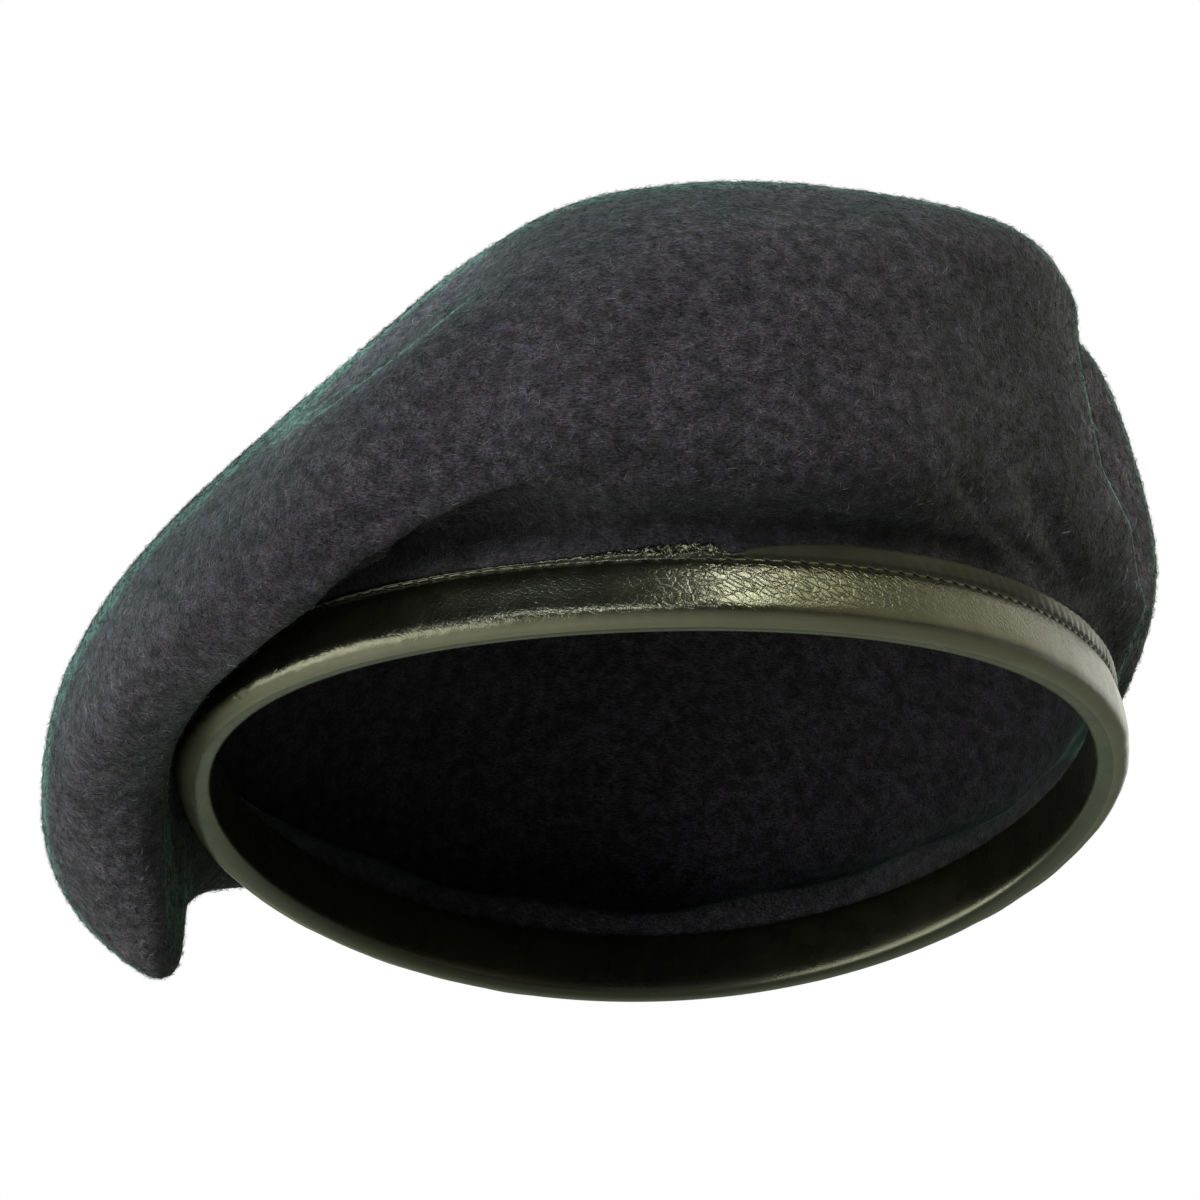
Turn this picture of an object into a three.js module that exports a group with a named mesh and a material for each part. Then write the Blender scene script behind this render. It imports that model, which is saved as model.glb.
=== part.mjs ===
// A military beret as it is worn: a one-piece crown of felted wool pulled over to the wearer's right,
// and the leather binding round its head opening. Millimetres, +Z up, the wearer's face towards -Y.
// The origin is the middle of the head opening, level with the binding's lower edge at the ears.

import * as THREE from "three";
import { LoftGeometry } from "three/addons/geometries/LoftGeometry.js";
import { mergeGeometries } from "three/addons/utils/BufferGeometryUtils.js";

// The head opening is an egg with its narrow end in front, measured to the middle of the felt's hem.
// Its front and back dip below its sides, as the line of a hat does.
const opening = { halfWidth: 82, halfLength: 106, narrowFront: 0.055, dip: 9 };

// How the hat sits: tipped back so that its front is the highest, and a little up on the wearer's left.
const worn = { tippedBack: 20.5, leftUp: 1.5 };

const felt = { thickness: 2, hemFoot: 4.5, hemMiddle: 10, hemTop: 15.5 };

const leather = {
  thickness: 1.2,
  gapToFelt: 0.3,
  height: 15,
  seamHeight: 11.5,
  seamHalfWidth: 1,
  seamDip: 0.5,
  channelFloor: 3.9,
  rollSwell: 1.6,
  edgeRound: 0.3,
  footRound: { out: 0.8, up: 1.5 },
};

// The binding's rolled lower part, from the seam down: its share of the roll's swell at each height.
const rollShape = [
  { up: 10.3, swell: 0.35 },
  { up: 7.9, swell: 0.75 },
  { up: 4.2, swell: 1 },
  { up: 1.5, swell: 0.7 },
  { up: 0, swell: -0.2 },
];

// The middle of the crown, where all its sections meet, and how the felt rises there towards +X and +Y.
const crownMiddle = { x: -12, y: 0, height: 101, riseX: 0.2, riseY: -0.06, radius: 12, drop: 0.5 };

// Sections through the crown. turn is the angle round the opening: 0 is the front and 90 the wearer's left.
// Every other column is [out, up]: how far the felt's outer face lies outside the hem, away from the crown's
// middle, and its height. They follow the felt from the leather outwards, round its edge and over the top.
const sections = [
  { turn: 0, leave: [1, 46], under: [3, 50], lip: [6, 57], side: [9, 70],
    shoulder: [6, 86], brow: [-6, 98], top: [-40, 105] },
  { turn: 25, leave: [1, 45], under: [3, 49], lip: [6, 56], side: [8, 69],
    shoulder: [5, 86], brow: [-5, 99], top: [-38, 107] },
  { turn: 50, leave: [1, 40], under: [3, 44], lip: [5, 51], side: [5, 65],
    shoulder: [2, 83], brow: [1, 97], top: [-30, 105] },
  { turn: 67, leave: [1, 33], under: [3, 38], lip: [6, 46], side: [6, 58],
    shoulder: [0, 76], brow: [-4, 93], top: [-35, 104] },
  { turn: 84, leave: [1, 24], under: [4, 28], lip: [8, 37], side: [6, 49],
    shoulder: [-1, 65], brow: [-8, 84], top: [-40, 101] },
  { turn: 106, leave: [2, 9], under: [5, 13], lip: [9, 22], side: [13, 38],
    shoulder: [9, 61], brow: [-2, 82], top: [-38, 98] },
  { turn: 128, leave: [2, -7], under: [7, -5], lip: [13, 1], side: [17, 15],
    shoulder: [14, 37], brow: [2, 61], top: [-38, 89] },
  { turn: 152, leave: [2, -20], under: [7, -20], lip: [15, -16], side: [21, -4],
    shoulder: [18, 17], brow: [5, 44], top: [-36, 83] },
  { turn: 180, leave: [2, -28], under: [8, -30], lip: [18, -27], side: [25, -13],
    shoulder: [22, 9], brow: [8, 37], top: [-34, 78] },
  { turn: 208, leave: [3, -22], under: [9, -25], lip: [20, -26], side: [28, -14],
    shoulder: [25, 6], brow: [11, 33], top: [-30, 74] },
  { turn: 230, leave: [3, -10], under: [8, -14], lip: [21, -21], side: [31, -10],
    shoulder: [28, 5], brow: [13, 31], top: [-24, 70] },
  { turn: 246, leave: [3, -1], under: [7, -10], lip: [15, -24], side: [31, -13],
    shoulder: [28, 7], brow: [13, 32], top: [-22, 69] },
  { turn: 260, leave: [3, 10], under: [5, -8], lip: [5, -34], side: [28, -18],
    shoulder: [26, 12], brow: [12, 37], top: [-22, 70] },
  { turn: 275, leave: [3, 19], under: [5, 2], lip: [6, -31], side: [26, -10],
    shoulder: [24, 19], brow: [9, 43], top: [-22, 72] },
  { turn: 290, leave: [3, 28], under: [7, 16], lip: [10, 2], side: [26, 5],
    shoulder: [24, 27], brow: [8, 49], top: [-24, 75] },
  { turn: 303, leave: [3, 34], under: [9, 25], lip: [13, 17], side: [25, 23],
    shoulder: [23, 39], brow: [8, 56], top: [-26, 80] },
  { turn: 315, leave: [2, 38], under: [8, 34], lip: [17, 28], side: [24, 36],
    shoulder: [21, 51], brow: [5, 66], top: [-28, 86] },
  { turn: 325, leave: [2, 41], under: [6, 41], lip: [16, 40], side: [21, 49],
    shoulder: [18, 62], brow: [3, 75], top: [-30, 92] },
  { turn: 335, leave: [1, 43], under: [4, 45], lip: [12, 49], side: [16, 59],
    shoulder: [13, 73], brow: [0, 84], top: [-33, 97] },
  { turn: 346, leave: [1, 45], under: [3, 48], lip: [8, 54], side: [12, 65],
    shoulder: [8, 81], brow: [-4, 93], top: [-36, 102] },
];
const rings = ["leave", "under", "lip", "side", "shoulder", "brow", "top"];

// Folds across those sections. A fold starts at ring from and fades out at ring to, and its line moves by
// lean degrees on the way. It is spread degrees wide on each side, and depth is positive where it stands out.
const folds = [
  { turn: 82, lean: -14, spread: 9, from: "under", to: "top", depth: 1.6 },
  { turn: 94, lean: -14, spread: 9, from: "under", to: "brow", depth: -1.8 },
  { turn: 60, lean: -16, spread: 8, from: "leave", to: "shoulder", depth: -1.4 },
  { turn: 44, lean: -12, spread: 8, from: "leave", to: "side", depth: -1.1 },
  { turn: 122, lean: -6, spread: 9, from: "leave", to: "side", depth: -1.6 },
  { turn: 142, lean: 4, spread: 9, from: "leave", to: "side", depth: -1.5 },
  { turn: 168, lean: -4, spread: 9, from: "leave", to: "side", depth: -1.7 },
  { turn: 192, lean: 5, spread: 9, from: "leave", to: "side", depth: -1.5 },
  { turn: 216, lean: 4, spread: 9, from: "leave", to: "side", depth: -1.6 },
  { turn: 330, lean: -14, spread: 10, from: "lip", to: "brow", depth: 1.2 },
];

// Folds are deepest before the middle of their length, by this power.
const foldSkew = 0.7;

const mesh = { stepsAround: 96, spanSteps: [1, 1, 1, 2, 3, 3, 3, 3, 3, 2] };

const radians = THREE.MathUtils.degToRad;
const wornTurn = new THREE.Euler(-radians(worn.tippedBack), -radians(worn.leftUp), 0, "YXZ");

// A point by the head opening: offset outwards across its line, and up from the binding's lower edge.
function openingPoint(turn, offset, up) {
  const line = (angle) => new THREE.Vector2(
    opening.halfWidth * Math.sin(angle) * (1 - opening.narrowFront * Math.cos(angle)),
    -opening.halfLength * Math.cos(angle),
  );
  const angle = radians(turn);
  const nudge = 1e-3;
  const along = line(angle + nudge).sub(line(angle - nudge)).normalize();
  const at = line(angle).add(new THREE.Vector2(along.y, -along.x).multiplyScalar(offset));
  return new THREE.Vector3(at.x, at.y, up - opening.dip * Math.cos(angle) ** 2).applyEuler(wornTurn);
}

// The value of one column at any turn, on a smooth closed curve through the rows of the table.
function columnAt(turn, value) {
  const count = sections.length;
  const wrapped = ((turn % 360) + 360) % 360;
  let row = count - 1;
  while (sections[row].turn > wrapped) row -= 1;
  const knot = (i) => {
    const lap = Math.floor(i / count);
    const at = sections[i - lap * count];
    return { turn: at.turn + lap * 360, value: value(at) };
  };
  const [before, start, end, after] = [row - 1, row, row + 1, row + 2].map(knot);
  const slope = (a, b) => (b.value - a.value) / (b.turn - a.turn);
  const span = end.turn - start.turn;
  const t = (wrapped - start.turn) / span;
  const startSlope = slope(before, end) * span;
  const endSlope = slope(start, after) * span;
  const t2 = t * t;
  const t3 = t2 * t;
  return (2 * t3 - 3 * t2 + 1) * start.value + (t3 - 2 * t2 + t) * startSlope
    + (3 * t2 - 2 * t3) * end.value + (t3 - t2) * endSlope;
}

// The felt's outer face along one section, from the foot of its hem to the crown's middle.
function crownSection(turn) {
  const hem = [felt.hemFoot, felt.hemMiddle, felt.hemTop].map((up) => (
    openingPoint(turn, felt.thickness / 2, up)
  ));
  const toHem = new THREE.Vector2(hem[2].x - crownMiddle.x, hem[2].y - crownMiddle.y);
  const hemOut = toHem.length();
  toHem.normalize();
  const rise = crownMiddle.riseX * toHem.x + crownMiddle.riseY * toHem.y;
  const pointAt = (out, up) => new THREE.Vector3(
    crownMiddle.x + toHem.x * out,
    crownMiddle.y + toHem.y * out,
    up,
  );
  return new THREE.CatmullRomCurve3([
    ...hem,
    ...rings.map((ring) => pointAt(
      hemOut + columnAt(turn, (row) => row[ring][0]),
      columnAt(turn, (row) => row[ring][1]),
    )),
    pointAt(crownMiddle.radius, crownMiddle.height - crownMiddle.drop + crownMiddle.radius * rise),
    pointAt(0, crownMiddle.height),
  ]);
}

const hemPoints = 3;
const sectionSpans = hemPoints + rings.length + 1;
const sectionCache = new Map();

// A point of the unfolded crown: along runs from 0 at the hem's foot to 1 at the crown's middle.
function plainPoint(turn, along) {
  if (!sectionCache.has(turn)) sectionCache.set(turn, crownSection(turn));
  return sectionCache.get(turn).getPoint(along);
}

// The way out of the felt at a point of the surface that pointAt gives.
function outwards(pointAt, turn, along) {
  const nudge = { turn: 0.5, along: 0.004 };
  const low = Math.max(along - nudge.along, 0);
  const around = pointAt(turn + nudge.turn, along).sub(pointAt(turn - nudge.turn, along));
  const up = pointAt(turn, along + nudge.along).sub(pointAt(turn, low));
  return around.cross(up).normalize();
}

// How far all the folds together lift the felt at a point.
function foldLift(turn, along) {
  let lift = 0;
  for (const fold of folds) {
    const start = (hemPoints + rings.indexOf(fold.from) - 1) / sectionSpans;
    const end = (hemPoints + rings.indexOf(fold.to)) / sectionSpans;
    const progress = (along - start) / (end - start);
    if (progress <= 0 || progress >= 1) continue;
    const off = THREE.MathUtils.euclideanModulo(turn - fold.turn - fold.lean * progress + 180, 360) - 180;
    if (Math.abs(off) >= fold.spread) continue;
    const across = Math.cos((0.5 * Math.PI * off) / fold.spread) ** 2;
    lift += fold.depth * across * Math.sin(Math.PI * progress ** foldSkew);
  }
  return lift;
}

function crownPoint(turn, along) {
  const lift = foldLift(turn, along);
  const at = plainPoint(turn, along);
  return lift === 0 ? at : at.addScaledVector(outwards(plainPoint, turn, along), lift);
}

// The same point on the felt's inner face, one thickness in from the outer one.
function crownInnerPoint(turn, along) {
  return crownPoint(turn, along).addScaledVector(outwards(crownPoint, turn, along), -felt.thickness);
}

// Triangles from one point to a closed ring of points.
function fanGeometry(middle, ring) {
  const fan = new THREE.BufferGeometry().setFromPoints([middle, ...ring]);
  fan.setIndex(ring.flatMap((_, i) => [0, i + 1, ((i + 1) % ring.length) + 1]));
  return fan;
}

// One closed wall: the felt's inner face from the crown's middle down to the hem, and its outer face back up.
function crownGeometry() {
  const steps = mesh.spanSteps.flatMap((count, span) => (
    Array.from({ length: count }, (_, i) => (span + i / count) / sectionSpans)
  ));
  steps.push(mesh.spanSteps.length / sectionSpans);
  const ringAt = (pointAt, along) => Array.from({ length: mesh.stepsAround }, (_, i) => (
    pointAt((360 * i) / mesh.stepsAround, along)
  ));
  const outer = steps.map((along) => ringAt(crownPoint, along));
  const inner = steps.map((along) => ringAt(crownInnerPoint, along));
  const outerMiddle = new THREE.Vector3(crownMiddle.x, crownMiddle.y, crownMiddle.height);
  const innerMiddle = outerMiddle.clone().setZ(crownMiddle.height - felt.thickness);
  const wall = new LoftGeometry([...inner.toReversed(), ...outer]);
  wall.deleteAttribute("normal");
  wall.deleteAttribute("uv");
  const whole = mergeGeometries([
    wall,
    fanGeometry(outerMiddle, outer.at(-1)),
    fanGeometry(innerMiddle, inner.at(-1).toReversed()),
  ]);
  whole.computeVertexNormals();
  return whole;
}

// The binding's section as [out, up] from the middle of the felt: the outer leaf, the roll round the
// bottom, the inner leaf, and the channel between the leaves that the felt's hem stands in.
function bandSection() {
  const channel = felt.thickness / 2 + leather.gapToFelt;
  const face = channel + leather.thickness;
  const edgeUp = leather.height - leather.edgeRound;
  return [
    [channel, leather.height],
    [face, edgeUp],
    [face, leather.seamHeight + leather.seamHalfWidth],
    [face - leather.seamDip, leather.seamHeight],
    ...rollShape.map(({ up, swell }) => [face + swell * leather.rollSwell, up]),
    [-face + leather.footRound.out, 0],
    [-face, leather.footRound.up],
    [-face, leather.seamHeight],
    [-face + leather.edgeRound, edgeUp],
    [-channel, leather.height],
    [-channel, leather.channelFloor],
    [channel, leather.channelFloor],
  ];
}

function bandGeometry() {
  const section = bandSection();
  const loops = [];
  for (let i = 0; i <= mesh.stepsAround; i += 1) {
    const turn = (360 * i) / mesh.stepsAround;
    loops.push(section.map(([out, up]) => openingPoint(turn, out, up)));
  }
  return new LoftGeometry(loops);
}

const wool = new THREE.MeshStandardMaterial({ color: 0x242329, roughness: 0.95, metalness: 0 });
const hide = new THREE.MeshStandardMaterial({ color: 0x12120f, roughness: 0.35, metalness: 0 });

const crown = new THREE.Mesh(crownGeometry(), wool);
crown.name = "crown";

const band = new THREE.Mesh(bandGeometry(), hide);
band.name = "band";

const beret = new THREE.Group();
beret.add(crown, band);

export default beret;
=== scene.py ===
# A military beret as it is worn: felted wool pulled over to the wearer's right, with a leather binding.
import math

import bmesh
import bpy
import numpy as np
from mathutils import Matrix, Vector, noise
from mathutils.bvhtree import BVHTree
from mathutils.kdtree import KDTree


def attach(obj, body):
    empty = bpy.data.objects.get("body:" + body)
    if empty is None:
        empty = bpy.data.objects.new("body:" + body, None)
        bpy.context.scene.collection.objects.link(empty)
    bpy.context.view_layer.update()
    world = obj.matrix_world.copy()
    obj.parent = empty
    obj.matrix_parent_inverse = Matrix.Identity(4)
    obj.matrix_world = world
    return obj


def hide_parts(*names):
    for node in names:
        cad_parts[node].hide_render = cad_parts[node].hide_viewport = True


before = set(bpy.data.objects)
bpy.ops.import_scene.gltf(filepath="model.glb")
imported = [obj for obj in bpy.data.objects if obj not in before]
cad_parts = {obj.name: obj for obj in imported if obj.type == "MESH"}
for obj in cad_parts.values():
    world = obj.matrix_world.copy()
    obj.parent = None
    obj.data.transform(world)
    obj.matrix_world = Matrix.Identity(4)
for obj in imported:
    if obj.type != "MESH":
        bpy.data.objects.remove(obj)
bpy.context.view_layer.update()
print("frame loaded")

mm = 0.001

# camera: level, one metre in front of the wearer's face; the image is square
view = {
    "place": (-9.67 * mm, -1.0, 35.4 * mm),
    "imageWidth": 1200,  # px
    "focal": 5550,  # px
    "sensor": 36.0,
}


def makeCamera():
    data = bpy.data.cameras.new("camera")
    data.sensor_width = view["sensor"]
    data.lens = view["sensor"] * view["focal"] / view["imageWidth"]
    data.clip_start, data.clip_end = 0.05, 20
    data.dof.use_dof = False
    camera = addPiece("camera", data)
    camera.location = view["place"]
    camera.rotation_euler = (math.radians(90), 0, 0)
    bpy.context.scene.camera = camera


def toPixels(points):
    away = points[:, 1] - view["place"][1]
    column = view["imageWidth"] / 2 + (points[:, 0] - view["place"][0]) * view["focal"] / away
    row = view["imageWidth"] / 2 - (points[:, 2] - view["place"][2]) * view["focal"] / away
    return np.stack([column, row], 1)


# small helpers for meshes and node trees


def deselectAll():
    if bpy.context.object and bpy.context.object.mode != "OBJECT":
        bpy.ops.object.mode_set(mode="OBJECT")
    bpy.ops.object.select_all(action="DESELECT")


def pick(piece):
    deselectAll()
    piece.select_set(True)
    bpy.context.view_layer.objects.active = piece


def addPiece(name, data):
    piece = bpy.data.objects.new(name, data)
    bpy.context.scene.collection.objects.link(piece)
    return piece


def selectWhere(piece, kind, isWanted):
    # leaves the piece in edit mode with its wanted edges or faces selected
    pick(piece)
    bpy.ops.object.mode_set(mode="EDIT")
    bpy.ops.mesh.select_mode(type=kind)
    bpy.ops.mesh.select_all(action="DESELECT")
    cage = bmesh.from_edit_mesh(piece.data)
    for element in cage.edges if kind == "EDGE" else cage.faces:
        if isWanted(element):
            element.select_set(True)
    bmesh.update_edit_mesh(piece.data)


def readPoints(mesh):
    points = np.zeros(len(mesh.vertices) * 3)
    mesh.vertices.foreach_get("co", points)
    return points.reshape(-1, 3)


def writePoints(mesh, points):
    mesh.vertices.foreach_set("co", points.astype(np.float32).ravel())
    mesh.update()


def readNormals(mesh):
    normals = np.zeros(len(mesh.vertices) * 3)
    mesh.vertex_normals.foreach_get("vector", normals)
    return normals.reshape(-1, 3)


def readAttribute(mesh, name):
    values = np.zeros(len(mesh.vertices))
    mesh.attributes[name].data.foreach_get("value", values)
    return values


def storeAttribute(mesh, name, values):
    attribute = mesh.attributes.get(name) or mesh.attributes.new(name, "FLOAT", "POINT")
    attribute.data.foreach_set("value", np.asarray(values, np.float32))


def treeOf(mesh):
    corners = [tuple(face.vertices) for face in mesh.polygons]
    return BVHTree.FromPolygons([tuple(point) for point in readPoints(mesh)], corners)


def smoothStep(low, high, values):
    t = np.clip((values - low) / (high - low), 0, 1)
    return t * t * (3 - 2 * t)


def copyNode(nodeName, pieceName):
    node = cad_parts[nodeName]
    mesh = node.data.copy()
    mesh.name = pieceName
    piece = addPiece(pieceName, mesh)
    pick(piece)
    bpy.ops.object.mode_set(mode="EDIT")
    bpy.ops.mesh.select_all(action="SELECT")
    bpy.ops.mesh.remove_doubles(threshold=1e-6)
    bpy.ops.object.mode_set(mode="OBJECT")
    return piece


def dissolveDiagonals(piece, isDiagonal):
    selectWhere(piece, "EDGE", lambda edge: isDiagonal[edge.index])
    bpy.ops.mesh.dissolve_edges(use_verts=False)
    bpy.ops.object.mode_set(mode="OBJECT")


def applySubdivision(piece, levels):
    pick(piece)
    modifier = piece.modifiers.new("smooth", "SUBSURF")
    modifier.levels = levels
    modifier.render_levels = levels
    bpy.ops.object.modifier_apply(modifier="smooth")


def readEdges(mesh):
    ends = np.zeros(len(mesh.edges) * 2, int)
    mesh.edges.foreach_get("vertices", ends)
    return ends.reshape(-1, 2)


def feed(tree, socket, value):
    if isinstance(value, bpy.types.NodeSocket):
        tree.links.new(value, socket)
    else:
        socket.default_value = value


def feedNode(tree, node, **inputs):
    for key, value in inputs.items():
        feed(tree, node.inputs[key.replace("_", " ")], value)


def addNode(tree, kind, place, settings=None, **inputs):
    node = tree.nodes.new(kind)
    node.location = place
    for key, value in (settings or {}).items():
        setattr(node, key, value)
    feedNode(tree, node, **inputs)
    return node


def startMaterial(name, shaderValues):
    material = bpy.data.materials.new(name)
    material.use_nodes = True
    tree = material.node_tree
    tree.nodes.clear()
    output = addNode(tree, "ShaderNodeOutputMaterial", (600, 0))
    shader = addNode(tree, "ShaderNodeBsdfPrincipled", (300, 0))
    for key, value in shaderValues.items():
        shader.inputs[key].default_value = value
    tree.links.new(shader.outputs["BSDF"], output.inputs["Surface"])
    return material, tree, shader


def readPlace(tree):
    return addNode(tree, "ShaderNodeTexCoord", (-2000, 0)).outputs["Object"]


def scaleColor(tree, place, color, times):
    node = addNode(tree, "ShaderNodeVectorMath", place, {"operation": "SCALE"}, Vector=color, Scale=times)
    return node.outputs[0]


def addBump(tree, place, height, strength, distance):
    node = addNode(tree, "ShaderNodeBump", place, Strength=strength, Distance=distance, Height=height)
    return node.outputs["Normal"]


def joinValues(tree, place, operation, first, second):
    node = addNode(tree, "ShaderNodeMath", place, {"operation": operation})
    feed(tree, node.inputs[0], first)
    feed(tree, node.inputs[1], second)
    return node.outputs[0]


def scaleValue(tree, place, value, times):
    return joinValues(tree, place, "MULTIPLY", value, times)


def addRamp(tree, place, value, reach, results):
    node = addNode(tree, "ShaderNodeMapRange", place, {"interpolation_type": "SMOOTHSTEP"}, Value=value,
                   From_Min=reach[0], From_Max=reach[1], To_Min=results[0], To_Max=results[1])
    return node.outputs["Result"]


makeCamera()
print("camera made")

# stage: a pale floor well below the held-up hat, lamps, and a studio that the camera sees as white
stageSettings = {
    "floorHeight": -0.32,
    "floorSize": 2.8,
    "floorColor": (0.25, 0.245, 0.215, 1),
    # the room's strength from the camera's side to the back
    "depths": [{"at": 0.12, "strength": 0.11}, {"at": 0.5, "strength": 0.50}, {"at": 0.80, "strength": 1.0}],
    # the room, an olive wall on the right and a low cool glow in front, with what each is multiplied by
    # along the axes: (axis, where it starts and ends, its strength there)
    "parts": {
        "room": {"color": (1.0, 1.0, 0.98, 1), "ramps": [
            ("Z", (0.30, 0.80), (1.0, 0.25)),
            ("X", (0.4, 0.95), (1.0, 0.45)),
        ]},
        "wall": {"color": (1.0, 0.93, 0.50, 1), "ramps": [
            ("X", (0.4, 0.95), (0.0, 0.62)),
            ("Z", (-0.05, 0.35), (0.0, 1.0)),
            ("Z", (0.85, 0.60), (0.0, 1.0)),
        ]},
        "glow": {"color": (0.80, 0.90, 1.0, 1), "ramps": [
            ("Y", (0.1, -0.5), (0.0, 0.16)),
            ("X", (0.45, 0.15), (0.0, 1.0)),
            ("Z", (0.42, 0.22), (0.0, 1.0)),
            ("Z", (-0.25, -0.05), (0.0, 1.0)),
        ]},
    },
    "lights": [
        {"name": "frontWindow", "place": (-0.42, -0.95, 0.50), "size": (1.2, 0.11), "watts": 6.6,
         "color": (1.0, 1.0, 0.86)},
        {"name": "paleWindow", "place": (-0.42, -0.86, 0.68), "size": (1.2, 0.20), "watts": 1.9,
         "color": (0.70, 0.86, 1.0)},
        {"name": "floorGlow", "place": (-0.50, -0.10, -0.31), "size": (1.0, 0.70), "watts": 8.0,
         "color": (1.0, 0.99, 0.84)},
        {"name": "overheadCore", "place": (0.42, -0.53, 1.0), "size": (0.25, 0.34), "watts": 4.6,
         "color": (1.0, 1.0, 0.88)},
        {"name": "overheadSoftbox", "place": (0.75, -0.38, 1.0), "size": (0.62, 0.44), "watts": 3.8,
         "color": (1.0, 0.97, 0.66)},
        {"name": "coolRim", "place": (-0.95, 0.55, 0.95), "size": (0.7, 0.7), "watts": 8,
         "color": (0.45, 1.0, 0.88)},
    ],
    "aimAt": (-0.005, 0.0, 0.03),
}


def makeStage():
    s = stageSettings
    bpy.ops.mesh.primitive_plane_add(size=s["floorSize"], location=(0, 0, s["floorHeight"]))
    floor = bpy.context.object
    floor.name = "floor"
    material, tree, shader = startMaterial("paleFloor", {"Roughness": 0.9, "Base Color": s["floorColor"]})
    floor.data.materials.append(material)
    for light in s["lights"]:
        data = bpy.data.lights.new(light["name"], "AREA")
        data.shape = "RECTANGLE"
        data.size, data.size_y = light["size"]
        data.energy = light["watts"]
        data.color = light["color"]
        lamp = addPiece(light["name"], data)
        lamp.location = light["place"]
        aim = Vector(s["aimAt"]) - Vector(light["place"])
        lamp.rotation_euler = aim.to_track_quat("-Z", "Y").to_euler()


def addRoomPart(tree, height, axes, part, strength=None):
    for i, (axis, reach, strengths) in enumerate(part["ramps"]):
        ramp = addRamp(tree, (-400, height - 180 * i), axes.outputs[axis], reach, strengths)
        if strength is None:
            strength = ramp
        else:
            strength = joinValues(tree, (-200, height - 180 * i), "MULTIPLY", strength, ramp)
    background = addNode(tree, "ShaderNodeBackground", (0, height), Color=part["color"], Strength=strength)
    return background.outputs[0]


def addShaders(tree, place, first, second):
    node = addNode(tree, "ShaderNodeAddShader", place)
    feed(tree, node.inputs[0], first)
    feed(tree, node.inputs[1], second)
    return node.outputs[0]


def makeWorld():
    s = stageSettings
    world = bpy.data.worlds.new("studio")
    bpy.context.scene.world = world
    world.use_nodes = True
    tree = world.node_tree
    tree.nodes.clear()
    place = addNode(tree, "ShaderNodeTexCoord", (-1000, 0))
    axes = addNode(tree, "ShaderNodeSeparateXYZ", (-800, 0), Vector=place.outputs["Generated"])
    depth = addNode(tree, "ShaderNodeMapRange", (-600, 200), Value=axes.outputs["Y"], From_Min=-1.0)
    ramp = addNode(tree, "ShaderNodeValToRGB", (-600, 450), Fac=depth.outputs["Result"])
    elements = ramp.color_ramp.elements
    elements.new(s["depths"][1]["at"])
    for element, row in zip(elements, s["depths"]):
        element.position = row["at"]
        element.color = (row["strength"],) * 3 + (1,)
    parts = s["parts"]
    room = addRoomPart(tree, 300, axes, parts["room"], ramp.outputs["Color"])
    wall = addRoomPart(tree, -200, axes, parts["wall"])
    glow = addRoomPart(tree, -800, axes, parts["glow"])
    lit = addShaders(tree, (400, -200), room, addShaders(tree, (200, -400), wall, glow))
    seen = addNode(tree, "ShaderNodeBackground", (400, 200), Color=(1, 1, 1, 1), Strength=1.0)
    path = addNode(tree, "ShaderNodeLightPath", (400, 600))
    chooser = addNode(tree, "ShaderNodeMixShader", (600, 0), Fac=path.outputs["Is Camera Ray"])
    feed(tree, chooser.inputs[1], lit)
    feed(tree, chooser.inputs[2], seen.outputs[0])
    addNode(tree, "ShaderNodeOutputWorld", (800, 0), Surface=chooser.outputs[0])


makeStage()
makeWorld()
bpy.context.scene.view_settings.view_transform = "Standard"
print("stage made")


# a group that scatters soft patches of tone over a surface, for the felt, its nap and the leather


def makeMottleGroup():
    group = bpy.data.node_groups.new("mottle", "ShaderNodeTree")
    face = group.interface
    face.new_socket("Vector", in_out="INPUT", socket_type="NodeSocketVector")
    for name, value in (("Size", 400.0), ("Low", 0.3), ("High", 0.7)):
        face.new_socket(name, in_out="INPUT", socket_type="NodeSocketFloat").default_value = value
    face.new_socket("Mask", in_out="OUTPUT", socket_type="NodeSocketFloat")
    start = addNode(group, "NodeGroupInput", (-600, 0))
    given = start.outputs
    cloud = addNode(group, "ShaderNodeTexNoise", (-300, 0), Vector=given["Vector"], Scale=given["Size"],
                    Detail=3.0, Roughness=0.6)
    spread = addNode(group, "ShaderNodeMapRange", (0, 0), {"clamp": True}, Value=cloud.outputs["Fac"],
                     From_Min=given["Low"], From_Max=given["High"])
    addNode(group, "NodeGroupOutput", (400, 0), Mask=spread.outputs["Result"])
    return group


mottle = makeMottleGroup()


def addMottle(tree, place, vector, size, low, high):
    node = addNode(tree, "ShaderNodeGroup", place, {"node_tree": mottle}, Vector=vector, Size=size, Low=low,
                   High=high)
    return node.outputs["Mask"]


def mixColors(tree, place, factor, first, second, share=None):
    if share is not None:
        factor = scaleValue(tree, (place[0] - 180, place[1]), factor, share)
    node = addNode(tree, "ShaderNodeMix", place, {"data_type": "RGBA"})
    for index, value in ((0, factor), (6, first), (7, second)):
        feed(tree, node.inputs[index], value)
    return node.outputs[2]


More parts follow.
